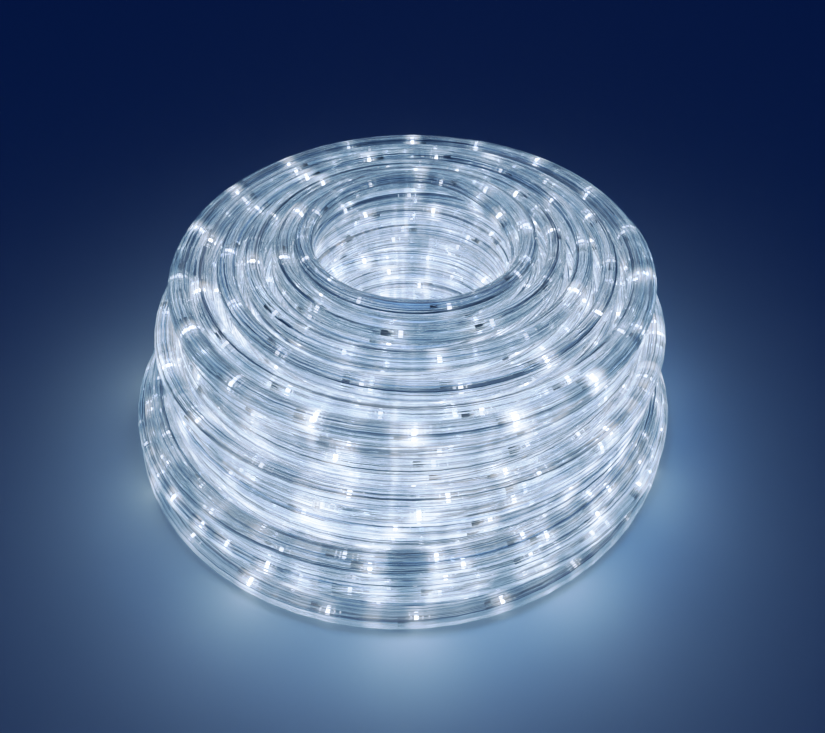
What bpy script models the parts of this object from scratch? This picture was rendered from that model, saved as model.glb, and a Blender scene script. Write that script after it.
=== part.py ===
"""LED rope light: a coil of clear 10 mm rope wound in three tiers around an open bore.

The coil stands on its end, bore upright, with its underside at z = 0 and its axis on Z.
It is one turned solid. Every turn of rope that lies on the outside shows as a rounded ridge:
on the underside, on the three stepped walls, on the two ledges, on the domed top and in the bore.
The rope's two ends are short tubes, each closed by a moulded cap: one inside the bore, and one
at the back on the lower ledge. All lengths are in metres.
"""

import math

import bpy
from mathutils import Matrix, Vector

# Rope and coil
ROPE_DIAMETER = 0.010
BORE_RADIUS = 0.0505
TOP_TIER_RADIUS = 0.124
MIDDLE_TIER_RADIUS = 0.137
BOTTOM_TIER_RADIUS = 0.1585
BOTTOM_TIER_LEAN = 0.011  # how far the bottom tier's wall leans in towards its upper edge
TOP_TIER_LAYERS = 3
MIDDLE_TIER_LAYERS = 4
BOTTOM_TIER_LAYERS = 4
LAYER_PITCH = 0.0096  # turns nest a little into the grooves of the layer below
DOME_RISE = 0.0118  # how much higher the top lies at the bore than at its outer edge
CREST_WIDTH = 0.0040  # width of a ridge's flat crest
GROOVE_DEPTH = 0.0024  # depth of the groove between two turns
COIL_SEGMENTS = 36

# Ends of the rope
CAP_DIAMETER = 0.012
CAP_LENGTH = 0.016
CAP_END_WALL = 0.0035
CAP_CHAMFER = 0.0010
CAP_SEGMENTS = 24
LEAD_IN = 0.002  # straight rope between the curved stretch and the cap's mouth
INNER_TAIL_LENGTH = 0.050
OUTER_TAIL_LENGTH = 0.080
INNER_END_ANGLE = math.radians(-105)  # where the curved stretch ends, measured round the axis
OUTER_END_ANGLE = math.radians(110)
TAIL_STEP = 2 * ROPE_DIAMETER  # longest step between two points of a tail
CLEARANCE = 0.0003  # between pieces that touch

# Sizes that follow from those above
ROPE_RADIUS = ROPE_DIAMETER / 2
CAP_RADIUS = CAP_DIAMETER / 2
LEDGE_HEIGHT = BOTTOM_TIER_LAYERS * LAYER_PITCH
SHOULDER_HEIGHT = LEDGE_HEIGHT + MIDDLE_TIER_LAYERS * LAYER_PITCH
EDGE_HEIGHT = SHOULDER_HEIGHT + TOP_TIER_LAYERS * LAYER_PITCH
BORE_HEIGHT = EDGE_HEIGHT + DOME_RISE
FACET_SHRINK = math.cos(math.pi / COIL_SEGMENTS)  # a facet's middle lies this much nearer the axis

CLEAR_PVC = ("clear_pvc", (0.62, 0.74, 0.88), 0.12)
CAP_PVC = ("cap_pvc", (0.80, 0.86, 0.92), 0.35)


def clear_scene():
    """Remove every object that the scene starts with."""
    for obj in list(bpy.data.objects):
        bpy.data.objects.remove(obj, do_unlink=True)


def plain_material(name, color, roughness):
    """A Principled material of one colour; a second call with the same name reuses it."""
    material = bpy.data.materials.get(name)
    if material is None:
        material = bpy.data.materials.new(name)
        material.use_nodes = True
        shader = material.node_tree.nodes["Principled BSDF"]
        shader.inputs["Base Color"].default_value = (*color, 1)
        shader.inputs["Roughness"].default_value = roughness
        shader.inputs["Metallic"].default_value = 0
    return material


def ridge_row(start, end, turns):
    """The profile's points along one straight row of turns, from start to end.

    Each turn has the two ends of its flat crest on the line from start to end, and one point
    stands for the groove between two turns. The material lies to the right of the line.
    """
    start, end = Vector(start), Vector(end)
    along = (end - start).normalized()
    inward = Vector((along.y, -along.x))
    pitch = (end - start).length / turns
    points = []
    for turn in range(turns):
        middle = start + along * pitch * (turn + 0.5)
        if turn:
            points.append(start + along * pitch * turn + inward * GROOVE_DEPTH)
        points.append(middle - along * CREST_WIDTH / 2)
        points.append(middle + along * CREST_WIDTH / 2)
    return points


def turns_across(width):
    """How many turns of rope lie side by side in this width."""
    return max(1, int(width / ROPE_DIAMETER + 1e-6))


def inside_corner(radius, height):
    """The groove where a wall stands on a ledge."""
    return Vector((radius - GROOVE_DEPTH / 2, height - GROOVE_DEPTH / 2))


def coil_profile():
    """The closed outline in radius and height: down the outer side, in, up the bore, and out."""
    layers = TOP_TIER_LAYERS + MIDDLE_TIER_LAYERS + BOTTOM_TIER_LAYERS
    top_edge = (TOP_TIER_RADIUS, EDGE_HEIGHT)
    shoulder_in = (TOP_TIER_RADIUS, SHOULDER_HEIGHT)
    shoulder_out = (MIDDLE_TIER_RADIUS, SHOULDER_HEIGHT)
    ledge_in = (MIDDLE_TIER_RADIUS, LEDGE_HEIGHT)
    ledge_out = (BOTTOM_TIER_RADIUS - BOTTOM_TIER_LEAN, LEDGE_HEIGHT)
    foot_out = (BOTTOM_TIER_RADIUS, 0)
    foot_in = (BORE_RADIUS, 0)
    rim = (BORE_RADIUS, BORE_HEIGHT)
    rows = (
        ridge_row(top_edge, shoulder_in, TOP_TIER_LAYERS),
        [inside_corner(*shoulder_in)],
        ridge_row(shoulder_in, shoulder_out, turns_across(MIDDLE_TIER_RADIUS - TOP_TIER_RADIUS)),
        ridge_row(shoulder_out, ledge_in, MIDDLE_TIER_LAYERS),
        [inside_corner(*ledge_in)],
        ridge_row(ledge_in, ledge_out, turns_across(ledge_out[0] - MIDDLE_TIER_RADIUS)),
        ridge_row(ledge_out, foot_out, BOTTOM_TIER_LAYERS),
        ridge_row(foot_out, foot_in, turns_across(BOTTOM_TIER_RADIUS - BORE_RADIUS)),
        ridge_row(foot_in, rim, layers),
        ridge_row(rim, top_edge, turns_across(TOP_TIER_RADIUS - BORE_RADIUS)),
    )
    return [point for row in rows for point in row]


def turned_solid(name, profile, closed, segments, material):
    """An object that the Screw modifier turns round its own Z from a profile in radius and height.

    A closed profile gives a ring; an open one starts and ends on the axis.
    """
    count = len(profile)
    edges = [(i, (i + 1) % count) for i in range(count if closed else count - 1)]
    mesh = bpy.data.meshes.new(name)
    mesh.from_pydata([(point.x, 0, point.y) for point in profile], edges, [])
    mesh.materials.append(material)
    obj = bpy.data.objects.new(name, mesh)
    bpy.context.scene.collection.objects.link(obj)
    screw = obj.modifiers.new("turn", "SCREW")
    screw.axis = "Z"
    screw.angle = math.tau
    screw.steps = screw.render_steps = segments
    screw.use_merge_vertices = True
    screw.merge_threshold = 0.00001
    screw.use_smooth_shade = True
    return obj


def add_coil():
    """The wound rope as one turned ring with its bore."""
    turned_solid("rope_coil", coil_profile(), True, COIL_SEGMENTS, plain_material(*CLEAR_PVC))


def cap_profile():
    """Half the section of a cup that slips over the rope: mouth at height 0, closed end above."""
    socket_radius = ROPE_RADIUS + CLEARANCE
    socket_depth = CAP_LENGTH - CAP_END_WALL
    return [
        Vector((0, CAP_LENGTH)),
        Vector((CAP_RADIUS - CAP_CHAMFER, CAP_LENGTH)),
        Vector((CAP_RADIUS, CAP_LENGTH - CAP_CHAMFER)),
        Vector((CAP_RADIUS, 0)),
        Vector((socket_radius, 0)),
        Vector((socket_radius, socket_depth)),
        Vector((0, socket_depth)),
    ]


def add_cap(name, mouth, direction):
    """A cap with its mouth at a point, pointing along a level direction."""
    cap = turned_solid(name, cap_profile(), False, CAP_SEGMENTS, plain_material(*CAP_PVC))
    turn = Vector((0, 0, 1)).rotation_difference(direction).to_matrix().to_4x4()
    cap.matrix_world = Matrix.Translation(mouth) @ turn


def arc_steps(length):
    """How many straight steps make up a tail's curved stretch."""
    return max(2, math.ceil(length / TAIL_STEP))


def tail_route(radius, height, end_angle, length, sense):
    """A level route: an arc round the axis up to end_angle, then straight on into the cap.

    The sense is 1 for an arc that runs counterclockwise seen from above, and -1 for the other
    way. It returns the route's points, the point of the cap's mouth and the level direction in
    which the rope enters it.
    """
    arc_angle = length / radius
    steps = arc_steps(length)
    points = []
    for step in range(steps + 1):
        angle = end_angle - sense * arc_angle * (1 - step / steps)
        points.append(Vector((radius * math.cos(angle), radius * math.sin(angle), height)))
    direction = Vector((-math.sin(end_angle), math.cos(end_angle), 0)) * sense
    mouth = points[-1] + direction * LEAD_IN
    points.append(mouth + direction * (CAP_LENGTH - CAP_END_WALL - CLEARANCE))
    return points, mouth, direction


def add_tail(name, points):
    """A short length of rope along the points, with both ends closed."""
    curve = bpy.data.curves.new(name, "CURVE")
    curve.dimensions = "3D"
    curve.bevel_depth = ROPE_RADIUS
    curve.bevel_resolution = 3
    curve.use_fill_caps = True
    spline = curve.splines.new("POLY")
    spline.points.add(len(points) - 1)
    for spot, point in zip(spline.points, points):
        spot.co = (*point, 1)
    curve.materials.append(plain_material(*CLEAR_PVC))
    bpy.context.scene.collection.objects.link(bpy.data.objects.new(name, curve))


def add_inner_end():
    """The rope's first end, inside the bore: the far corner of its cap lies against the bore wall."""
    reach = LEAD_IN + CAP_LENGTH
    wall = BORE_RADIUS * FACET_SHRINK - CLEARANCE
    radius = math.sqrt(wall**2 - reach**2) - CAP_RADIUS
    height = CAP_RADIUS + CLEARANCE
    points, mouth, direction = tail_route(radius, height, INNER_END_ANGLE, INNER_TAIL_LENGTH, -1)
    add_tail("rope_tail_inner", points)
    add_cap("end_cap_inner", mouth, direction)


def add_outer_end():
    """The rope's last end, on the lower ledge at the back, beside the middle tier's wall."""
    beside = MIDDLE_TIER_RADIUS + CLEARANCE + CAP_RADIUS
    half_step = OUTER_TAIL_LENGTH / beside / arc_steps(OUTER_TAIL_LENGTH) / 2
    radius = beside / math.cos(half_step)
    height = LEDGE_HEIGHT + CLEARANCE + CAP_RADIUS
    points, mouth, direction = tail_route(radius, height, OUTER_END_ANGLE, OUTER_TAIL_LENGTH, 1)
    add_tail("rope_tail_outer", points)
    add_cap("end_cap_outer", mouth, direction)


def main():
    """Build the coil and the rope's two capped ends."""
    clear_scene()
    add_coil()
    add_inner_end()
    add_outer_end()


main()
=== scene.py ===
"""The looks of a lit LED rope light: a coil of clear rope with its wires and lamps inside.

The coil stands on its end on a pale floor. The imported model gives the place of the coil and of
the caps on the rope's two ends; this script winds the real rope through that space, puts its
wires, lamps, solder and resistors inside it, dresses the caps, and adds floor, light and camera.
All lengths are in metres.
"""

import logging
import math
from dataclasses import dataclass, field
from enum import Enum

import bpy
import numpy as np
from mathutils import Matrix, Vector


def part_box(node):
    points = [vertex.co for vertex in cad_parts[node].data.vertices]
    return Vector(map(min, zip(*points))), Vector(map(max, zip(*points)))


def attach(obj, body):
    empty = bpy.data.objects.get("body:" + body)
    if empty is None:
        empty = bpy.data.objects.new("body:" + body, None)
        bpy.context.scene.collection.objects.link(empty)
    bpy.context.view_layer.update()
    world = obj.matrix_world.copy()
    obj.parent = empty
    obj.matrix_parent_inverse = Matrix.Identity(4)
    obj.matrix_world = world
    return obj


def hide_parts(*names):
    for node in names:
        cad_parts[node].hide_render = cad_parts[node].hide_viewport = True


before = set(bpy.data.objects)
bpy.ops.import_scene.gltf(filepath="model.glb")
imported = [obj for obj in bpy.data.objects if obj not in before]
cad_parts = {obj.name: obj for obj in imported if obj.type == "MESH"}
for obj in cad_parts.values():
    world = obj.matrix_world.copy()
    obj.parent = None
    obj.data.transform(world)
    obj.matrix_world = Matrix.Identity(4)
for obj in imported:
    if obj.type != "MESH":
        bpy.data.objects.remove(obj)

STEPS_PER_TURN = 64

ROPE_DIAMETER = 0.010
ROPE_RADIUS = ROPE_DIAMETER / 2
LAMP_PITCH = 1 / 24  # 24 lamps to the metre

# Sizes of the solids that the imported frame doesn't give
COIL_SEGMENTS = 36
MIDDLE_TIER_RADIUS = 0.137
CLEARANCE = 0.0003
LEAD_IN = 0.002  # straight rope before a cap's mouth
CAP_LENGTH = 0.016
CAP_END_WALL = 0.0035
SOCKET_DEPTH = CAP_LENGTH - CAP_END_WALL - CLEARANCE  # how far the rope goes into a cap

# The photograph's camera
PHOTO_WIDTH_PX = 825
FOCAL_LENGTH_PX = 700

# Kinds and settings that many nodes share
MATH = "ShaderNodeMath"
MAP_RANGE = "ShaderNodeMapRange"
NOISE = "ShaderNodeTexNoise"
ADD = {"operation": "ADD"}
MULTIPLY = {"operation": "MULTIPLY"}
SMOOTH = {"interpolation_type": "SMOOTHSTEP"}
COLOR_MIX = {"data_type": "RGBA"}

logging.basicConfig(level=logging.INFO, format="%(message)s")
log = logging.getLogger("rope_light")


def linear(hex_color: str) -> tuple[float, float, float, float]:
    """Turn an sRGB hex colour into linear RGBA.

    Args:
        hex_color: Six hex digits, such as "DCE9F8".

    Returns:
        The linear red, green and blue, and an alpha of 1.
    """
    channels = [int(hex_color[i : i + 2], 16) / 255 for i in (0, 2, 4)]
    return (*[c / 12.92 if c <= 0.04045 else ((c + 0.055) / 1.055) ** 2.4 for c in channels], 1.0)


def feed(tree: bpy.types.NodeTree, node: bpy.types.Node, inputs: dict[str | int, object]) -> None:
    """Give a node its inputs.

    Args:
        tree: The node tree that the node is in.
        node: The node.
        inputs: Values, nodes or output sockets by input name or number. A socket is linked, and of
            a node its first output.
    """
    for name, value in inputs.items():
        source = value.outputs[0] if isinstance(value, bpy.types.Node) else value
        if isinstance(source, bpy.types.NodeSocket):
            tree.links.new(source, node.inputs[name])
        else:
            node.inputs[name].default_value = source


def add_node(
    tree: bpy.types.NodeTree,
    kind: str,
    settings: dict[str, object] | None = None,
    inputs: dict[str | int, object] | None = None,
) -> bpy.types.Node:
    """Add one node with its settings, values and links.

    Args:
        tree: The node tree that gets the node.
        kind: The node's type name.
        settings: Attributes to set on the node.
        inputs: Its values and links, as feed() takes them.

    Returns:
        The new node.
    """
    node = tree.nodes.new(kind)
    for name, value in (settings or {}).items():
        setattr(node, name, value)
    feed(tree, node, inputs or {})
    return node


def add_lamp_chance(tree: bpy.types.NodeTree, along: bpy.types.NodeSocket) -> bpy.types.Node:
    """Add a chance value for each lamp, such that few lamps come near 1.

    Args:
        tree: The node tree that gets the nodes.
        along: The distance along the rope, in lamp pitches.

    Returns:
        The node that gives the nearest lamp's value, from 0 to 1.
    """
    which = add_node(tree, MATH, {"operation": "ROUND"}, {0: along})
    chance = add_node(tree, "ShaderNodeTexWhiteNoise", {"noise_dimensions": "1D"}, {"W": which})
    return add_node(tree, MATH, {"operation": "POWER"}, {0: chance, 1: 2.0})


def new_material(name: str) -> tuple[bpy.types.Material, bpy.types.NodeTree, bpy.types.Node]:
    """Make a material with a Principled shader. What it emits isn't sampled as a light.

    Args:
        name: The material's name.

    Returns:
        The material, its node tree and its Principled node.
    """
    material = bpy.data.materials.new(name)
    material.use_nodes = True
    material.cycles.emission_sampling = "NONE"
    return material, material.node_tree, material.node_tree.nodes["Principled BSDF"]


@dataclass(frozen=True)
class ClearPvc:
    """Extruded clear PVC with a painted inner glow: glassy, faintly blue, with fine lines along its length.
    """

    tint: str = "F1F7FA"
    shade: str = "2F5F96"
    haze: str = "78AAD6"
    glow: str = "F6F8F6"
    base_glow: float = 0.200
    edge_shade_share: float = 0.45  # the share of the base glow that painted shade takes from a tier's edge
    lamp_glow: float = 0.26
    glow_reach: float = 0.30  # as a share of the lamp pitch
    refraction: float = 1.53
    ripple: tuple[float, float] = (0.0013, 0.30)  # width and length of the jacket's soft waves
    ripple_height: float = 0.0015
    scratch_and_shade_line: tuple[float, float] = (0.0007, 0.45)  # width and length of the dark lines: nozzle scratches, and painted shade
    patch_shift: tuple[float, float, float] = (3.3, 5.7, 1.9)  # which part of the noise makes the patches

    def add_depth(
        self, tree: bpy.types.NodeTree, radius: bpy.types.NodeSocket, place: bpy.types.Node
    ) -> bpy.types.Node:
        """Add how much of the other turns' painted light reaches each place.

        Args:
            tree: The node tree that gets the nodes.
            radius: The distance from the coil's axis.
            place: The node that gives the place's X, Y and Z.

        Returns:
            The node that gives the share, up to 1.
        """
        # The turns deep in the coil are lit by all the others, so their PVC is the brightest. The
        # photograph shows the upper turns brighter at -Y than at +Y, and this is matched to it.
        y, z = place.outputs[1], place.outputs[2]
        reach = {0: radius, 1: 0.120, 2: 0.155, 3: 1.0, 4: 0.64}
        inner = add_node(tree, MAP_RANGE, SMOOTH, reach)
        front = add_node(tree, MAP_RANGE, inputs={0: y, 1: -0.125, 2: -0.075, 3: -0.018, 4: 0.0})
        covered = add_node(tree, MATH, ADD, {0: z, 1: front})
        reach = {0: covered, 1: 0.082, 2: 0.112, 3: 1.0, 4: 0.27}
        lower = add_node(tree, MAP_RANGE, SMOOTH, reach)
        rear = add_node(tree, MAP_RANGE, inputs={0: y, 1: 0.0, 2: 0.12, 3: 1.0, 4: 0.6})
        under = add_node(tree, MATH, MULTIPLY, {0: inner, 1: rear})
        return add_node(tree, MATH, MULTIPLY, {0: under, 1: lower})

    def add_patches(
        self, tree: bpy.types.NodeTree, level: bpy.types.Node, radius: bpy.types.NodeSocket,
        height: bpy.types.NodeSocket,
    ) -> bpy.types.Node:
        """Add the painted light of lamps under the outer turns: soft patches, and columns across the turns.

        Args:
            tree: The node tree that gets the nodes.
            level: The node that gives the place's X and Y.
            radius: Its distance from the coil's axis.
            height: Its height.

        Returns:
            The node that gives the light's strength, about 1 on the whole.
        """
        compass = add_node(tree, "ShaderNodeVectorMath", {"operation": "NORMALIZE"}, {0: level})
        slant = {0: radius, 1: -0.7, 2: height}
        across = add_node(tree, MATH, {"operation": "MULTIPLY_ADD"}, slant)
        lift = add_node(tree, "ShaderNodeCombineXYZ", inputs={2: across})
        wall = add_node(tree, "ShaderNodeVectorMath", ADD, {0: compass, 1: lift})
        layers = []
        for scale, low, high, least, most in (
            ((7, 7, 34), 0.38, 0.64, 0.8, 1.35),  # patches that lie along the turns
            ((15, 15, 11), 0.52, 0.72, 0.0, 0.7),  # columns
        ):
            spot = add_node(tree, "ShaderNodeMapping", inputs={0: wall, 1: self.patch_shift, 3: scale})
            cloud = {"Vector": spot, "Scale": 1.0, "Detail": 1.0, "Distortion": 0.4}
            patch = add_node(tree, NOISE, inputs=cloud)
            limits = {0: patch, 1: low, 2: high, 3: least, 4: most}
            layers.append(add_node(tree, MAP_RANGE, SMOOTH, limits))
        return add_node(tree, MATH, ADD, {0: layers[0], 1: layers[1]})

    def add_light(
        self, tree: bpy.types.NodeTree, along: bpy.types.NodeSocket, upward: bpy.types.NodeSocket
    ) -> bpy.types.Node:
        """Add the light scattered in the PVC, painted as its glow.

        Args:
            tree: The node tree that gets the nodes.
            along: The distance along the rope, in lamp pitches.
            upward: How far the skin faces up, from -1 to 1.

        Returns:
            The node that gives the light's strength, before the skin's lines.
        """
        spot = add_node(tree, "ShaderNodeTexCoord").outputs["Object"]
        level = add_node(tree, "ShaderNodeVectorMath", MULTIPLY, {0: spot, 1: (1, 1, 0)})
        distance = add_node(tree, "ShaderNodeVectorMath", {"operation": "LENGTH"}, {0: level})
        radius = distance.outputs["Value"]
        place = add_node(tree, "ShaderNodeSeparateXYZ", inputs={0: spot})
        deep = self.add_depth(tree, radius, place)
        patches = self.add_patches(tree, level, radius, place.outputs[2])

        # Painted shade: a turn on the edge of a tier has nothing behind it, so its glow is dimmed, most of
        # all below.
        edge = add_node(tree, "ShaderNodeAttribute", {"attribute_name": "edge"}).outputs["Fac"]
        below = add_node(tree, MAP_RANGE, inputs={0: upward, 1: -1.0, 2: 0.2, 3: 2.0, 4: 0.4})
        clear = add_node(tree, MATH, MULTIPLY, {0: edge, 1: below})
        terms = {0: clear, 1: -self.edge_shade_share * self.base_glow, 2: self.base_glow}
        filled = add_node(tree, MATH, {"operation": "MULTIPLY_ADD", "use_clamp": True}, terms)
        share = add_node(tree, MATH, MULTIPLY, {0: patches, 1: filled})
        haze = add_node(tree, MATH, MULTIPLY, {0: deep, 1: share})

        # Painted light: bright beside each lamp, faint between two of them, and no two lamps alike.
        away = add_node(tree, MATH, {"operation": "PINGPONG"}, {0: along, 1: 0.5})
        fade = {0: away, 1: 0.0, 2: self.glow_reach, 3: 1.0, 4: 0.0}
        near = add_node(tree, MAP_RANGE, {"interpolation_type": "SMOOTHERSTEP"}, fade)
        peak = add_node(tree, MATH, {"operation": "POWER"}, {0: near, 1: 3.0})
        chance = add_lamp_chance(tree, along)
        output = add_node(tree, MAP_RANGE, inputs={0: chance, 3: 0.2, 4: 1.3})
        lamp = add_node(tree, MATH, MULTIPLY, {0: peak, 1: output})
        terms = {0: lamp, 1: self.lamp_glow, 2: haze}
        return add_node(tree, MATH, {"operation": "MULTIPLY_ADD"}, terms)

    def make(self) -> bpy.types.Material:
        """Build the material. Its UV map runs round the rope in U and along it, in lamp pitches, in V.

        Returns:
            The new material.
        """
        material, tree, shader = new_material("clear_pvc_jacket")
        uv = add_node(tree, "ShaderNodeUVMap", {"uv_map": "rope"})
        split = add_node(tree, "ShaderNodeSeparateXYZ", inputs={0: uv})
        around, along = split.outputs[0], split.outputs[1]
        angle = add_node(tree, MATH, MULTIPLY, {0: around, 1: 2 * math.pi})
        cosine = add_node(tree, MATH, {"operation": "COSINE"}, {0: angle})
        sine = add_node(tree, MATH, {"operation": "SINE"}, {0: angle})
        skin = add_node(tree, "ShaderNodeCombineXYZ", inputs={0: cosine, 1: sine, 2: along})

        # The extruder's nozzle leaves soft waves and fine scratches, which all run along the rope. The
        # real scratches are about 0.1 mm wide; they are drawn 0.7 mm wide here, so that they show. The fine
        # dark lines are partly these scratches and partly painted shade, and the glow is painted brighter
        # along the waves.
        lines = []
        for (width, length), detail in ((self.ripple, 1.5), (self.scratch_and_shade_line, 1.0)):
            ring = ROPE_RADIUS / width
            stretch = {0: skin, 3: (ring, ring, LAMP_PITCH / length)}
            spread = add_node(tree, "ShaderNodeMapping", inputs=stretch)
            grain = {"Vector": spread, "Scale": 1.0, "Detail": detail, "Roughness": 0.55}
            lines.append(add_node(tree, NOISE, inputs=grain))
        wave, fine = lines
        relief = {"Height": wave, "Strength": 0.8, "Distance": self.ripple_height}
        bump = add_node(tree, "ShaderNodeBump", inputs=relief)
        scratch_and_shade_mark = add_node(tree, MAP_RANGE, inputs={0: fine, 1: 0.36, 2: 0.43, 3: 0.8, 4: 0.0})
        colors = {0: scratch_and_shade_mark, 6: linear(self.tint), 7: linear(self.shade)}
        body = add_node(tree, "ShaderNodeMix", COLOR_MIX, colors)

        light = self.add_light(tree, along, sine.outputs[0])
        # Painted light and shade in the glow: bright streaks along the waves, dimmed along the dark lines.
        painted_streak = add_node(tree, MAP_RANGE, inputs={0: wave, 1: 0.42, 2: 0.68, 3: 0.8, 4: 1.3})
        painted_line_shade = add_node(tree, MAP_RANGE, inputs={0: fine, 1: 0.36, 2: 0.43, 3: 0.35, 4: 1.0})
        painted_streaks_and_shade = add_node(tree, MATH, MULTIPLY, {0: painted_streak, 1: painted_line_shade})
        strength = add_node(tree, MATH, MULTIPLY, {0: light, 1: painted_streaks_and_shade})
        bright = add_node(tree, MAP_RANGE, inputs={0: strength, 1: 0.0, 2: 0.35})
        colors = {0: bright, 6: linear(self.haze), 7: linear(self.glow)}
        glow = add_node(tree, "ShaderNodeMix", COLOR_MIX, colors)
        feed(tree, shader, {
            "Base Color": body.outputs[2], "Roughness": 0.0, "IOR": self.refraction,
            "Transmission Weight": 1.0, "Emission Color": glow.outputs[2],
            "Emission Strength": strength, "Normal": bump,
        })
        return material


@dataclass(frozen=True)
class TinnedCopper:
    """Drawn and tinned copper wire: a grey metal with a soft shine."""

    color: str = "4C5F7C"

    def make(self) -> bpy.types.Material:
        """Build the material.

        Returns:
            The new material.
        """
        # Drawing leaves marks along a wire; as roughness they break its shine about every millimetre.
        material, tree, shader = new_material("tinned_copper_wire")
        place = add_node(tree, "ShaderNodeTexCoord").outputs["Object"]
        grain = {"Vector": place, "Scale": 900.0, "Detail": 2.0}
        marks = add_node(tree, NOISE, inputs=grain)
        rough = add_node(tree, MAP_RANGE, inputs={0: marks, 3: 0.25, 4: 0.45})
        feed(tree, shader, {"Base Color": linear(self.color), "Metallic": 1.0, "Roughness": rough})
        return material


@dataclass(frozen=True)
class LitLens:
    """The epoxy lens of a lit cold-white LED."""

    color: str = "F4F8FF"
    strength: float = 8.0
    weakest: float = 0.15  # as a share of the strength

    def make(self) -> bpy.types.Material:
        """Build the material. The V of its UV map is the lamp's number along the rope.

        Returns:
            The new material.
        """
        # Cast epoxy is smooth and glossy, but the chip inside it outshines every reflection. The lamps
        # are not all equally bright, because some face away and some sit deeper in the rope.
        material, tree, shader = new_material("lit_epoxy_lens")
        uv = add_node(tree, "ShaderNodeUVMap", {"uv_map": "rope"})
        split = add_node(tree, "ShaderNodeSeparateXYZ", inputs={0: uv})
        chance = add_lamp_chance(tree, split.outputs[1])
        least = self.weakest * self.strength
        output = add_node(tree, MAP_RANGE, inputs={0: chance, 3: least, 4: self.strength})
        feed(tree, shader, {
            "Base Color": linear(self.color), "Roughness": 0.1,
            "Emission Color": linear(self.color), "Emission Strength": output,
        })
        return material


@dataclass(frozen=True)
class TinSolder:
    """Tin solder on a lamp's legs: a bright bead that glitters in the lamp's own light, as painted glints.
    """

    color: str = "EEF4FA"
    painted_glint: float = 0.9

    def make(self) -> bpy.types.Material:
        """Build the material.

        Returns:
            The new material.
        """
        # Molten tin sets in small facets; the noise paints glints of the lamp's light on some of them, as
        # emission.
        material, tree, shader = new_material("tin_solder")
        place = add_node(tree, "ShaderNodeTexCoord").outputs["Object"]
        grain = {"Vector": place, "Scale": 700.0, "Detail": 1.0}
        facets = add_node(tree, NOISE, inputs=grain)
        limits = {0: facets, 1: 0.4, 2: 0.7, 3: 0.15, 4: self.painted_glint}
        light = add_node(tree, MAP_RANGE, inputs=limits)
        feed(tree, shader, {
            "Base Color": linear(self.color), "Metallic": 1.0, "Roughness": 0.25,
            "Emission Color": linear(self.color), "Emission Strength": light,
        })
        return material


@dataclass(frozen=True)
class ResistorLacquer:
    """The lacquer that a film resistor is dipped in: dark blue-grey, glossy and a little uneven."""

    color: str = "101D33"
    thin: str = "24385A"

    def make(self) -> bpy.types.Material:
        """Build the material.

        Returns:
            The new material.
        """
        # Dipping leaves the coat thin in places, where it is lighter and less glossy.
        material, tree, shader = new_material("resistor_lacquer")
        place = add_node(tree, "ShaderNodeTexCoord").outputs["Object"]
        grain = {"Vector": place, "Scale": 800.0, "Detail": 2.0}
        coat = add_node(tree, NOISE, inputs=grain)
        colors = {0: coat, 6: linear(self.color), 7: linear(self.thin)}
        color = add_node(tree, "ShaderNodeMix", COLOR_MIX, colors)
        rough = add_node(tree, MAP_RANGE, inputs={0: coat, 3: 0.2, 4: 0.45})
        feed(tree, shader, {"Base Color": color.outputs[2], "Roughness": rough})
        return material


@dataclass(frozen=True)
class CapPvc:
    """Moulded translucent PVC with a satin skin, lit a little by the rope's end inside it, as a painted
    glow.
    """

    color: str = "E2ECF4"
    glow: str = "C4DAEA"
    refraction: float = 1.53
    skin_depth: float = 0.0001

    def make(self) -> bpy.types.Material:
        """Build the material.

        Returns:
            The new material.
        """
        # The mould's skin is finely matt, and the light inside it is painted as a glow in soft clouds.
        material, tree, shader = new_material("moulded_cap_pvc")
        place = add_node(tree, "ShaderNodeTexCoord").outputs["Object"]
        grain = {"Vector": place, "Scale": 400.0, "Detail": 3.0}
        clouds = add_node(tree, NOISE, inputs=grain)
        rough = add_node(tree, MAP_RANGE, inputs={0: clouds, 3: 0.12, 4: 0.32})
        limits = {0: clouds, 1: 0.3, 2: 0.7, 3: 0.06, 4: 0.34}
        light = add_node(tree, MAP_RANGE, inputs=limits)
        grain = {"Vector": place, "Scale": 2500.0, "Detail": 2.0}
        skin = add_node(tree, NOISE, inputs=grain)
        relief = {"Height": skin, "Strength": 0.3, "Distance": self.skin_depth}
        bump = add_node(tree, "ShaderNodeBump", inputs=relief)
        feed(tree, shader, {
            "Base Color": linear(self.color), "Roughness": rough, "IOR": self.refraction,
            "Transmission Weight": 0.85, "Emission Color": linear(self.glow),
            "Emission Strength": light, "Normal": bump,
        })
        return material


@dataclass(frozen=True)
class Layer:
    """One layer of turns.

    Attributes:
        outer: The centreline's radius in its outermost turn.
        turns: How many turns it holds.
        shift: How far the layer has slipped to +X.
        lean: How much nearer the axis its outermost turn lies at the front.
        edge: How much painted shade dims its outermost turn's glow, because little of the coil lies behind
            it.
    """

    outer: float
    turns: float
    shift: float = 0.0
    lean: float = 0.0
    edge: float = 0.0


@dataclass(frozen=True)
class Wave:
    """One of the waves that the turns wander in.

    Attributes:
        share: Its height, as a share of how far the turns wander.
        rate: How many of it make a turn.
        phase: Where it starts.
    """

    share: float
    rate: float
    phase: float


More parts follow.
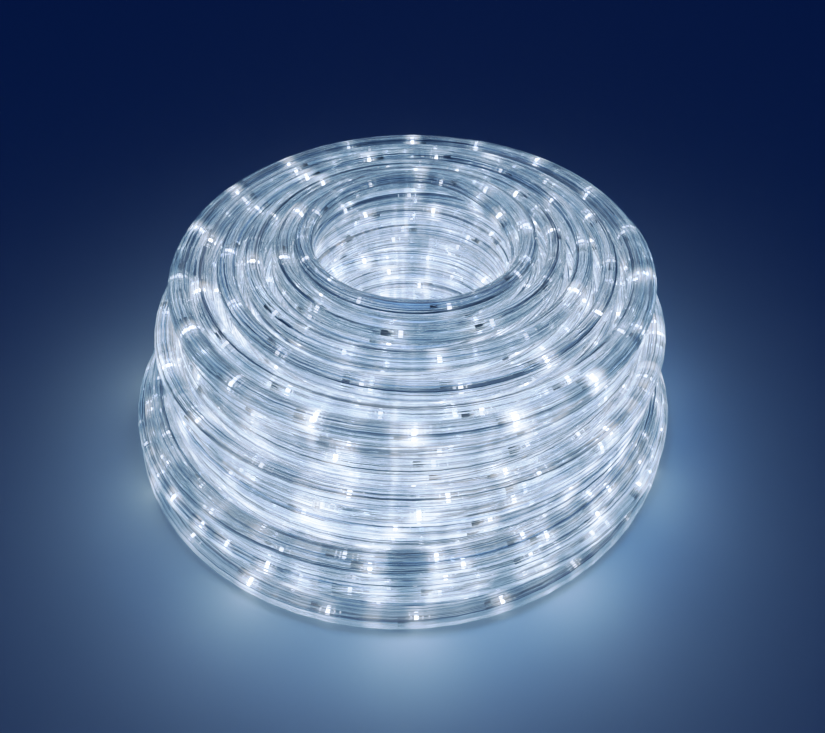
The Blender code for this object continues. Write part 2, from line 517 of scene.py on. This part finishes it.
@dataclass
class CoilRoute:
    """The rope's centreline, from the cap in the bore to the cap at the back."""

    bore: float = 0.0505
    layer_pitch: float = 0.0096
    dome_rise: float = 0.0118
    climb: float = 0.18  # turns that the rope takes from one layer to the next
    bore_hold: float = 0.5  # turns at the bore's wall before a layer spirals outwards
    outer_hold: float = 0.95
    inner_end: float = -105 / 360  # where the curved stretch meets the inner cap, in turns
    inner_arc: float = 69 / 360  # how long that stretch is, in turns
    inner_climb: float = 0.25  # turns from there to the bore's wall
    outer_start: float = 5  # where the last turn leaves the top, in degrees
    smoothing: int = 3  # in steps of the route
    sway: float = 0.0008  # how far a turn wanders in and out
    heave: float = 0.0005  # and up and down
    sway_waves: tuple[Wave, ...] = (Wave(1.0, 1.618, 1.0), Wave(0.8, 0.377, 2.1))
    heave_waves: tuple[Wave, ...] = (Wave(1.0, 2.414, 0.4), Wave(0.8, 0.581, 0.0))
    still: float = 0.3  # turns at each end that don't wander
    lean_reach: float = 0.09  # how far from the bore's wall a layer leans in full
    loose_reach: float = 0.03  # how far from the bore's wall a turn is free to wander in full
    loose_least: float = 0.4  # how free it is at that wall
    edge_width: float = 0.001  # how far inwards an edge gets its full painted shade
    edge_reach: float = 0.005  # how far that painted shade then fades
    rim_edge: float = 0.6  # how much painted shade the turn on the bore's upper rim gets
    layers: tuple[Layer, ...] = (
        Layer(0.1526, 9.25, -0.0030, 0.0, 0.3), Layer(0.1510, 8.5, -0.0030, 0.006),
        Layer(0.1450, 8.25, -0.0026, 0.002, 0.5), Layer(0.1420, 8, -0.0020, 0.001, 1.1),
        Layer(0.1320, 7.25, 0.0010, 0.0, 0.7), Layer(0.1320, 7, 0.0013), Layer(0.1322, 7.25, 0.0013),
        Layer(0.1315, 6.5, 0.0016, 0.0, 0.4), Layer(0.1190, 6, 0.0025, 0.0, 1.8),
        Layer(0.1190, 6.25, 0.0025), Layer(0.1190, 6, 0.0025, 0.0, 0.4),
    )
    turn: list[float] = field(default_factory=list)
    state: list[np.ndarray] = field(default_factory=list)  # radius, height, shift, lean, layer
    edge: np.ndarray = field(init=False)

    def go(self, turns: float, *goal: float) -> None:
        """Wind on to a new radius, height, shift, lean and layer.

        Args:
            turns: How far to wind, in turns.
            goal: The radius, height, shift, lean and layer there; a value that is left out stays.
        """
        steps = max(2, round(turns * STEPS_PER_TURN))
        turn, start = self.turn[-1], self.state[-1]
        end = np.concatenate([goal, start[len(goal):]])
        for step in range(1, steps + 1):
            share = step / steps
            self.turn.append(turn + turns * share)
            self.state.append(start + (end - start) * share)

    def place(self, number: int, at_bore: bool) -> tuple[float, float, float, float, float]:
        """Work out where a layer starts or ends.

        Args:
            number: The layer's number, from 0 at the foot.
            at_bore: Whether its end at the bore is meant, not the one outside.

        Returns:
            The radius, height, shift, lean and layer there.
        """
        layer = self.layers[number]
        rise = self.dome_rise * number / (len(self.layers) - 1) if at_bore else 0.0
        radius = self.bore + ROPE_RADIUS if at_bore else layer.outer
        return radius, ROPE_RADIUS + self.layer_pitch * number + rise, layer.shift, layer.lean, number

    def wind(self) -> np.ndarray:
        """Wind the whole coil.

        Returns:
            The points of the centreline, one row each. self.edge then says how much painted shade each one
            gets.
        """
        low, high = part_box("end_cap_inner")
        cap_radius = (high.z - low.z) / 2
        wall = self.bore * math.cos(math.pi / COIL_SEGMENTS) - CLEARANCE
        inner_radius = math.sqrt(wall**2 - (LEAD_IN + CAP_LENGTH) ** 2) - cap_radius
        self.turn = [self.inner_end]
        self.state = [np.array([inner_radius, (low.z + high.z) / 2, 0.0, 0.0, 0.0])]
        self.go(self.inner_arc, inner_radius)
        self.go(self.inner_climb, *self.place(0, True))
        last = len(self.layers) - 1
        for number, layer in enumerate(self.layers):
            outward = number % 2 == 0
            holds = (self.bore_hold, self.outer_hold)
            first, final = holds if outward else reversed(holds)
            self.go(first, *self.place(number, outward))
            self.go(layer.turns - first - final, *self.place(number, not outward))
            if number < last:
                self.go(final, *self.place(number, not outward))
                self.go(self.climb, *self.place(number + 1, not outward))
        self.step_down(cap_radius)
        return self.points()

    def step_down(self, cap_radius: float) -> None:
        """Lead the last turn down the back, over the middle tier's edge, to the cap on the ledge.

        Args:
            cap_radius: The cap's radius, which keeps the rope that far from the middle tier's wall.
        """
        low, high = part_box("end_cap_outer")
        ledge = (low.z + high.z) / 2
        beside = MIDDLE_TIER_RADIUS + CLEARANCE + cap_radius
        rest = 1 + (self.outer_start / 360 - self.turn[-1]) % 1
        self.go(rest, *self.place(len(self.layers) - 1, False))
        stops = (  # degrees, radius and height
            (25, 0.1290, 0.0962), (38, 0.1300, 0.0850), (48, 0.1345, 0.0816), (57, 0.1398, 0.0768),
            (66, 0.1424, 0.0640), (78, beside, ledge + 0.001), (84, beside, ledge), (110, beside, ledge),
        )
        angle = self.outer_start
        for stop, radius, height in stops:
            self.go((stop - angle) / 360, radius, height, 0.0, 0.0)
            angle = stop

    def mark_edges(self, radius: np.ndarray, layer: np.ndarray) -> np.ndarray:
        """Work out how much painted shade each point of the route gets on a tier's edge.

        Args:
            radius: Each point's distance from the axis.
            layer: Each point's layer, with a fraction between two of them.

        Returns:
            The painted shade, 0 in the coil and more on the edges.
        """
        number = np.arange(len(self.layers))
        outer = np.interp(layer, number, [item.outer for item in self.layers])
        edge = np.interp(layer, number, [item.edge for item in self.layers])
        edge = edge * np.clip(1 - (outer - radius - self.edge_width) / self.edge_reach, 0, 1)
        past_rim = radius - self.bore - ROPE_RADIUS - self.edge_width
        rim = np.clip(layer - number[-1] + 1, 0, 1) * np.clip(1 - past_rim / self.edge_reach, 0, 1)
        return np.maximum(edge, self.rim_edge * rim)

    def points(self) -> np.ndarray:
        """Loosen and smooth the route, and add the straight runs into both caps.

        Returns:
            The points of the centreline, one row each.
        """
        turn = np.array(self.turn)
        radius, height, shift, lean, layer = (self.smoothed(column) for column in np.array(self.state).T)
        self.edge = np.concatenate([[0.0], self.mark_edges(radius, layer), [0.0]])
        angle = 2 * math.pi * turn
        front = np.clip(-np.sin(angle), 0, None) ** 2
        radius -= lean * front * (radius - self.bore) / self.lean_reach
        to_end = np.minimum(turn - turn[0] - self.still, turn[-1] - turn - self.still)
        free = np.clip(to_end / self.still, 0, 1)
        loose = free * np.clip((radius - self.bore) / self.loose_reach, self.loose_least, 1)
        radius += loose * self.wander(turn, self.sway_waves) * self.sway
        height += loose * self.wander(turn, self.heave_waves) * self.heave
        height = np.maximum(height, ROPE_RADIUS)
        body = np.stack([radius * np.cos(angle) + shift, radius * np.sin(angle), height], 1)
        return np.vstack([self.run_on(body[1], body[0]), body, self.run_on(body[-2], body[-1])])

    def smoothed(self, values: np.ndarray) -> np.ndarray:
        """Take a moving bell-shaped mean, so that no turn changes its slope at once.

        Args:
            values: One value for each point of the route.

        Returns:
            As many smoothed values.
        """
        reach = 3 * self.smoothing
        kernel = np.exp(-0.5 * (np.arange(-reach, reach + 1) / self.smoothing) ** 2)
        padded = np.concatenate([np.full(reach, values[0]), values, np.full(reach, values[-1])])
        return np.convolve(padded, kernel / kernel.sum(), "valid")

    @staticmethod
    def wander(turn: np.ndarray, waves: tuple[Wave, ...]) -> np.ndarray:
        """How far each point has wandered, at these turns and in these waves."""
        return sum(wave.share * np.sin(2 * math.pi * wave.rate * turn + wave.phase) for wave in waves)

    @staticmethod
    def run_on(before: np.ndarray, end: np.ndarray) -> np.ndarray:
        """The rope's end in the cap, straight on from the last two points of its curved stretch."""
        return end + (end - before) / np.linalg.norm(end - before) * (LEAD_IN + SOCKET_DEPTH)


@dataclass
class Rope:
    """The jacket and the wires inside it, swept along the route."""

    line: np.ndarray
    edge: np.ndarray
    sides: int = 16
    wire_radius: float = 0.0004
    wire_sides: int = 4
    wire_offset: float = 0.0026  # from the rope's middle
    wire_twist: float = 2.7  # the length in which the two wires go once round each other
    lead_radius: float = 0.00025
    lead_sides: int = 3
    look_ahead: float = 0.002  # how far on a direction is measured
    along: np.ndarray = field(init=False)
    side_axis: np.ndarray = field(init=False)
    up_axis: np.ndarray = field(init=False)

    def __post_init__(self) -> None:
        """Work out the distance along the line and the two axes across it."""
        steps = np.linalg.norm(np.diff(self.line, axis=0), axis=1)
        self.along = np.concatenate([[0], np.cumsum(steps)])
        tangent = np.gradient(self.line, axis=0)
        tangent /= np.linalg.norm(tangent, axis=1, keepdims=True)
        side = np.cross(tangent, (0, 0, 1))
        self.side_axis = side / np.linalg.norm(side, axis=1, keepdims=True)
        self.up_axis = np.cross(self.side_axis, tangent)

    def tube(self, name: str, radius: float, sides: int, offset: np.ndarray) -> bpy.types.Object:
        """Sweep a round section along the line.

        Args:
            name: The new object's name.
            radius: The section's radius.
            sides: How many sides the section has.
            offset: For each point of the line, how far the section lies across and up from it.

        Returns:
            The new mesh object.
        """
        count = len(self.line)
        centre = self.line + self.side_axis * offset[:, :1] + self.up_axis * offset[:, 1:]
        angle = np.arange(sides) * 2 * math.pi / sides
        ring = (
            self.side_axis[:, None] * np.cos(angle)[None, :, None]
            + self.up_axis[:, None] * np.sin(angle)[None, :, None]
        )
        points = (centre[:, None] + ring * radius).reshape(-1, 3)
        i, j = np.meshgrid(np.arange(count - 1), np.arange(sides), indexing="ij")
        k = (j + 1) % sides
        quads = np.stack([i * sides + j, (i + 1) * sides + j, (i + 1) * sides + k, i * sides + k], -1)
        faces = quads.reshape(-1, 4).tolist()
        faces.append(list(range(sides)))
        faces.append([(count - 1) * sides + s for s in reversed(range(sides))])
        mesh = bpy.data.meshes.new(name)
        mesh.from_pydata(points.tolist(), [], faces)
        mesh.shade_smooth()
        obj = bpy.data.objects.new(name, mesh)
        bpy.context.scene.collection.objects.link(obj)
        return obj

    def add_maps(self, mesh: bpy.types.Mesh) -> None:
        """Add the jacket's UV map, round and along the rope, and how much painted shade each point gets.

        Args:
            mesh: The jacket's mesh, as tube() makes it.
        """
        i, j = np.meshgrid(np.arange(len(self.line) - 1), np.arange(self.sides), indexing="ij")
        v = self.along / LAMP_PITCH
        u0, u1 = j / self.sides, (j + 1) / self.sides
        corner = np.stack(
            [np.stack([u0, v[i]], -1), np.stack([u0, v[i + 1]], -1),
             np.stack([u1, v[i + 1]], -1), np.stack([u1, v[i]], -1)], 2
        ).reshape(-1, 2)
        ends = np.tile((0.0, 0.5), (2 * self.sides, 1))
        layer = mesh.uv_layers.new(name="rope")
        layer.data.foreach_set("uv", np.vstack([corner, ends]).astype(np.float32).ravel())
        # Painted shade: the edge attribute says how much the glow is dimmed on the tiers' edges.
        clear = mesh.attributes.new("edge", "FLOAT", "POINT")
        clear.data.foreach_set("value", np.repeat(self.edge, self.sides))

    def at(self, distance: np.ndarray) -> tuple[np.ndarray, np.ndarray]:
        """Find places along the rope.

        Args:
            distance: The distances along the line.

        Returns:
            The points there and the directions in which the rope runs on.
        """
        here, ahead = (
            np.stack([np.interp(spot, self.along, self.line[:, axis]) for axis in range(3)], 1)
            for spot in (distance, distance + self.look_ahead)
        )
        direction = ahead - here
        return here, direction / np.linalg.norm(direction, axis=1, keepdims=True)

    def build(self, pvc: ClearPvc, copper: TinnedCopper) -> tuple[bpy.types.Object, list[bpy.types.Object]]:
        """Build the jacket and the wires inside it.

        Args:
            pvc: The jacket's finish.
            copper: The wires' finish.

        Returns:
            The jacket, and a list of the two wires and the lamps' lead.
        """
        still = np.zeros((len(self.line), 2))
        jacket = self.tube("rope_jacket", ROPE_RADIUS, self.sides, still)
        self.add_maps(jacket.data)
        jacket.data.materials.append(pvc.make())
        twist = 2 * math.pi * self.along / self.wire_twist
        wires = []
        for name, turn in (("wire_live", 0.0), ("wire_neutral", math.pi)):
            offset = np.stack([np.cos(twist + turn), np.sin(twist + turn)], 1) * self.wire_offset
            wires.append(self.tube(name, self.wire_radius, self.wire_sides, offset))
        wires.append(self.tube("led_lead", self.lead_radius, self.lead_sides, still))
        metal = copper.make()
        for wire in wires:
            wire.data.materials.append(metal)
        for piece in (jacket, *wires):
            piece.visible_shadow = False
        return jacket, wires


@dataclass(frozen=True)
class Bead:
    """A small part with a rounded end.

    Attributes:
        sides: How many sides it has.
        radius: The body's radius.
        length: The body's length.
        tips: For each step of the rounded end, its height and how much it narrows.
    """

    sides: int
    radius: float
    length: float
    tips: tuple[tuple[float, float], ...]

    def build(self) -> bpy.types.Object:
        """Model the part along +Z about the origin.

        Returns:
            The new object.
        """
        bpy.ops.object.select_all(action="DESELECT")
        bpy.ops.mesh.primitive_cylinder_add(vertices=self.sides, radius=self.radius, depth=self.length)
        part = bpy.context.object
        bpy.ops.object.mode_set(mode="EDIT")
        bpy.ops.mesh.select_mode(type="FACE")
        bpy.ops.mesh.select_all(action="DESELECT")
        bpy.ops.object.mode_set(mode="OBJECT")
        for polygon in part.data.polygons:
            polygon.select = polygon.normal.z > 0.9
        bpy.ops.object.mode_set(mode="EDIT")
        for height, narrow in self.tips:
            bpy.ops.mesh.extrude_region_move(TRANSFORM_OT_translate={"value": (0, 0, height)})
            bpy.ops.transform.resize(value=(narrow, narrow, 1))
        bpy.ops.object.mode_set(mode="OBJECT")
        return part


@dataclass
class LampString:
    """The lamps, the solder on their legs and the resistors, all inside the rope."""

    rope: Rope
    seed: int = 11
    bare_end: float = 0.03  # rope without a lamp before the last cap
    lamp: Bead = Bead(8, 0.0007, 0.0010, ((0.0005, 0.85), (0.0004, 0.5)))
    solder: Bead = Bead(5, 0.0004, 0.0004, ((0.0003, 0.5),))
    resistor: Bead = Bead(8, 0.0006, 0.0030, ((0.0005, 0.6), (0.0022, 0.4)))
    solder_spots: tuple[float, ...] = (-0.0036, -0.0021, 0.0027, 0.0042, 0.0062)  # from the lamp
    solder_spread: tuple[float, float] = (0.0005, 0.0004)  # across and along the rope
    resistor_share: float = 0.7  # of the lamps that have one
    resistor_spot: float = -0.0068  # from the lamp
    resistor_drop: float = 0.0012  # from the rope's middle

    def scatter(self, name: str, bead: Bead, distances: np.ndarray, drop: np.ndarray) -> bpy.types.Object:
        """Put one copy of a small part at each distance along the rope, all in one mesh.

        Args:
            name: The new object's name.
            bead: The part to copy.
            distances: Where the copies lie along the rope, in metres.
            drop: How far each copy lies across and up from the rope's middle.

        Returns:
            The new mesh object.
        """
        part = bead.build()
        here, direction = self.rope.at(distances)
        side = np.cross(direction, (0, 0, 1))
        side /= np.linalg.norm(side, axis=1, keepdims=True)
        up = np.cross(direction, side)
        here = here + side * drop[:, :1] + up * drop[:, 1:]
        shape = np.array([v.co for v in part.data.vertices])
        faces = [list(p.vertices) for p in part.data.polygons]
        points = here[:, None] + (
            side[:, None] * shape[None, :, :1] + up[:, None] * shape[None, :, 1:2]
            + direction[:, None] * shape[None, :, 2:]
        )
        count = len(shape)
        mesh = bpy.data.meshes.new(name)
        mesh.from_pydata(
            points.reshape(-1, 3).tolist(), [],
            [[v + i * count for v in face] for i in range(len(distances)) for face in faces],
        )
        uv = np.zeros((len(distances), len(part.data.loops), 2), dtype=np.float32)
        uv[:, :, 1] = np.round(distances / LAMP_PITCH)[:, None]
        mesh.uv_layers.new(name="rope").data.foreach_set("uv", uv.ravel())
        mesh.shade_smooth()
        bpy.data.objects.remove(part, do_unlink=True)
        obj = bpy.data.objects.new(name, mesh)
        bpy.context.scene.collection.objects.link(obj)
        obj.visible_shadow = False
        return obj

    def build(self, lens: LitLens, tin: TinSolder, lacquer: ResistorLacquer) -> list[bpy.types.Object]:
        """Build the lamps, the solder beads on their legs and the resistors.

        Args:
            lens: The lamps' finish.
            tin: The solder beads' finish.
            lacquer: The resistors' finish.

        Returns:
            The three pieces, each one mesh.
        """
        length = self.rope.along[-1]
        spots = np.arange(1, int((length - self.bare_end) / LAMP_PITCH)) * LAMP_PITCH
        lamps = self.scatter("led_lamps", self.lamp, spots, np.zeros((len(spots), 2)))
        lamps.data.materials.append(lens.make())
        rng = np.random.default_rng(self.seed)
        joints = np.concatenate([spots + offset for offset in self.solder_spots])
        across, lengthwise = self.solder_spread
        drop = rng.normal(0.0, across, (len(joints), 2))
        joints += rng.normal(0.0, lengthwise, len(joints))
        beads = self.scatter("solder_beads", self.solder, joints, drop)
        beads.data.materials.append(tin.make())
        beside = rng.random(len(spots)) < self.resistor_share
        turn = rng.random(beside.sum()) * 2 * math.pi
        drop = np.stack([np.cos(turn), np.sin(turn)], 1) * self.resistor_drop
        resistors = self.scatter("resistors", self.resistor, spots[beside] + self.resistor_spot, drop)
        resistors.data.materials.append(lacquer.make())
        log.info("%d lamps, %d of them with a resistor", len(spots), len(drop))
        return [lamps, beads, resistors]


@dataclass
class EndCaps:
    """The moulded caps on the rope's two ends."""

    line: np.ndarray
    cap_radius: float = 0.0060
    bead_radius: float = 0.0005
    bead_spots: tuple[float, ...] = (0.0030, 0.0055, 0.0080)  # from the cap's mouth

    def add_beads(self, name: str, end: np.ndarray, direction: np.ndarray) -> bpy.types.Object:
        """Add the grip beads moulded round one cap.

        Args:
            name: The new object's name.
            end: The rope's end inside the cap.
            direction: The level direction in which the rope enters the cap.

        Returns:
            The new mesh object.
        """
        axis = Vector(direction)
        mouth = Vector(end) - axis * SOCKET_DEPTH
        turn = Vector((0, 0, 1)).rotation_difference(axis).to_euler()
        beads = []
        for spot in self.bead_spots:
            bpy.ops.object.select_all(action="DESELECT")
            bpy.ops.mesh.primitive_torus_add(
                location=mouth + axis * spot, rotation=turn, major_segments=40, minor_segments=8,
                major_radius=self.cap_radius, minor_radius=self.bead_radius,
            )
            beads.append(bpy.context.object)
        for bead in beads:
            bead.select_set(True)
        bpy.ops.object.join()
        piece = bpy.context.object
        bpy.ops.object.transform_apply(location=True, rotation=True, scale=True)
        bpy.ops.object.shade_smooth()
        piece.name = piece.data.name = name
        return piece

    def build(self, pvc: CapPvc) -> list[bpy.types.Object]:
        """Dress the two caps and add their beads.

        Args:
            pvc: The caps' finish.

        Returns:
            The pieces: both caps and both sets of beads.
        """
        material = pvc.make()
        pieces = [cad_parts["end_cap_inner"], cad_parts["end_cap_outer"]]
        for cap in pieces:
            cap.material_slots[0].material = material
        ends = (("beads_inner", self.line[0], self.line[1]), ("beads_outer", self.line[-1], self.line[-2]))
        for name, end, before in ends:
            direction = (end - before) / np.linalg.norm(end - before)
            beads = self.add_beads(name, end, direction)
            beads.data.materials.append(material)
            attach(beads, "root")
            pieces.append(beads)
        return pieces


class LightKind(Enum):
    """The kinds of light that the studio uses."""

    SOFTBOX = "AREA"
    GLOW = "POINT"


@dataclass
class Studio:
    """Floor, lights, camera, and the camera's lens and film."""

    axis: float = 0.0025  # the top tier's axis, which the camera stands in front of
    camera_back: float = 0.2976
    camera_height: float = 0.3229
    camera_dip: float = 45.7  # how far it looks down, in degrees
    sensor_width: float = 36.0  # in millimetres
    floor_size: float = 8.0
    pool_radius: float = 0.15
    pool_height: float = 0.028
    pools: tuple[float, ...] = (  # how bright each pool of light is, counterclockwise from +X
        0.25, 0.15, 0.4, 0.5, 0.5, 0.7, 1.9, 1.25, 1.1, 1.1, 0.95, 0.65,
    )
    deepest: int = 14  # how many surfaces light may cross
    tones: tuple[tuple[float, float, float], ...] = (  # for red, green and blue, what 0.1, 0.7 and 1 show as
        (0.082, 0.605, 0.765), (0.091, 0.615, 0.79), (0.10, 0.65, 0.86),
    )

    def add_floor(self) -> None:
        """Add a plain pale floor."""
        bpy.ops.object.select_all(action="DESELECT")
        bpy.ops.mesh.primitive_plane_add(size=self.floor_size)
        floor = bpy.context.object
        floor.name = "floor"
        material, tree, shader = new_material("pale_floor_paint")
        matt = {"Base Color": linear("BED0DE"), "Roughness": 0.9, "Specular IOR Level": 0.1}
        feed(tree, shader, matt)
        floor.data.materials.append(material)

    def add_light(
        self, name: str, kind: LightKind, place: tuple[float, float, float], size: float,
        power: float, color: str,
    ) -> bpy.types.Object:
        """Add a soft light that faces the coil.

        Args:
            name: The light's name.
            kind: What kind of light it is.
            place: Where it stands.
            size: Its width.
            power: Its power in watts.
            color: Its sRGB hex colour.

        Returns:
            The new light object.
        """
        data = bpy.data.lights.new(name, kind.value)
        if kind is LightKind.SOFTBOX:
            data.size = size
        else:
            data.shadow_soft_size = size / 2
        data.energy = power
        data.color = linear(color)[:3]
        light = bpy.data.objects.new(name, data)
        light.location = place
        light.rotation_euler = (Vector((0, 0, 0.05)) - Vector(place)).to_track_quat("-Z", "Y").to_euler()
        bpy.context.scene.collection.objects.link(light)
        return light

    def add_softboxes(self) -> None:
        """Add the dim studio light, which only the glossy surfaces show."""
        boxes = (("key", (-0.6, -0.4, 1.0), 0.7, 2.0), ("back", (0.1, 0.9, 0.9), 0.9, 3.0))
        for name, place, size, power in boxes:
            box = self.add_light(name, LightKind.SOFTBOX, place, size, power, "EAF1FF")
            box.visible_diffuse = False

    def add_coil_light(self) -> None:
        """Add the coil's own light on the floor: pools round its foot, and light from the bore and below."""
        lights = []
        for number, pool in enumerate(self.pools):
            angle = 2 * math.pi * number / len(self.pools)
            reach = self.pool_radius
            place = (reach * math.cos(angle), reach * math.sin(angle), self.pool_height)
            power = pool * (0.010 + 0.024 * (0.5 - 0.5 * math.sin(angle)) ** 2)
            name = f"coil_glow_{number}"
            lights.append(self.add_light(name, LightKind.GLOW, place, 0.03, power, "E2E6E2"))
        middle = (0.0, 0.0, 0.05)
        lights.append(self.add_light("coil_glow_bore", LightKind.GLOW, middle, 0.04, 0.008, "F2F0E8"))
        foot = (self.axis, -0.01, 0.045)
        under = self.add_light("coil_glow_under", LightKind.SOFTBOX, foot, 0.29, 0.46, "5CA2F0")
        under.data.shape = "DISK"
        under.rotation_euler = (0, 0, 0)
        for light in (*lights, under):
            light.visible_camera = light.visible_glossy = light.visible_transmission = False

    def add_world(self) -> None:
        """Add the dark blue of the studio round the coil."""
        world = bpy.data.worlds.new("dim_studio")
        bpy.context.scene.world = world
        world.use_nodes = True
        backdrop = world.node_tree.nodes["Background"]
        feed(world.node_tree, backdrop, {"Color": linear("14449A"), "Strength": 0.20})

    def add_camera(self) -> None:
        """Add the photograph's camera: 300 mm before the coil's axis, looking down at it."""
        data = bpy.data.cameras.new("camera")
        data.sensor_width = self.sensor_width
        data.lens = self.sensor_width * FOCAL_LENGTH_PX / PHOTO_WIDTH_PX
        data.clip_start = 0.01
        camera = bpy.data.objects.new("camera", data)
        camera.location = (self.axis, -self.camera_back, self.camera_height)
        camera.rotation_euler = (math.radians(90 - self.camera_dip), 0, 0)
        bpy.context.scene.collection.objects.link(camera)
        bpy.context.scene.camera = camera

    def set_light_paths(self) -> None:
        """Let light pass through a deep stack of clear turns."""
        cycles = bpy.context.scene.cycles
        cycles.max_bounces = cycles.transmission_bounces = self.deepest
        cycles.diffuse_bounces = 1
        cycles.glossy_bounces = 4
        cycles.sample_clamp_indirect = 4.0
        cycles.use_denoising = True
        cycles.caustics_reflective = False
        bpy.context.scene.view_settings.view_transform = "Standard"

    def add_glare(self) -> None:
        """Add the lens's small haze round each lamp, and the film's cool toe and soft shoulder."""
        scene = bpy.context.scene
        scene.use_nodes = True
        tree = scene.node_tree
        tree.nodes.clear()
        picture = add_node(tree, "CompositorNodeRLayers")
        glare = add_node(
            tree, "CompositorNodeGlare", {"glare_type": "BLOOM", "quality": "HIGH"},
            {"Image": picture.outputs[0], "Threshold": 1.15, "Strength": 0.42, "Size": 0.3},
        )
        film = add_node(tree, "CompositorNodeCurveRGB", inputs={"Image": glare.outputs[0]})
        film.mapping.use_clip = False
        for curve, (toe, knee, top) in zip(film.mapping.curves, self.tones):
            curve.points[-1].location = (2.0, 1.0)
            for light, shown in ((0.10, toe), (0.40, 0.40), (0.70, knee), (1.0, top)):
                curve.points.new(light, shown)
        film.mapping.update()
        add_node(tree, "CompositorNodeComposite", inputs={0: film.outputs[0]})


def main() -> None:
    """Build the rope light and its studio."""
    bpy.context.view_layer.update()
    studio = Studio()
    studio.add_camera()
    route = CoilRoute()
    line = route.wind()
    rope = Rope(line, route.edge)
    log.info("rope: %.2f m", rope.along[-1])
    jacket, wires = rope.build(ClearPvc(), TinnedCopper())
    small = LampString(rope).build(LitLens(), TinSolder(), ResistorLacquer())
    caps = EndCaps(line).build(CapPvc())
    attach(jacket, "root")
    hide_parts("rope_coil", "rope_tail_inner", "rope_tail_outer")
    for piece in [*wires, *small]:
        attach(piece, "root")
    for piece in [jacket, *wires, *small, *caps]:
        log.info("%s: %d faces", piece.name, len(piece.data.polygons))
    studio.add_floor()
    studio.add_softboxes()
    studio.add_coil_light()
    studio.add_world()
    studio.set_light_paths()
    studio.add_glare()


if __name__ == "__main__":
    main()
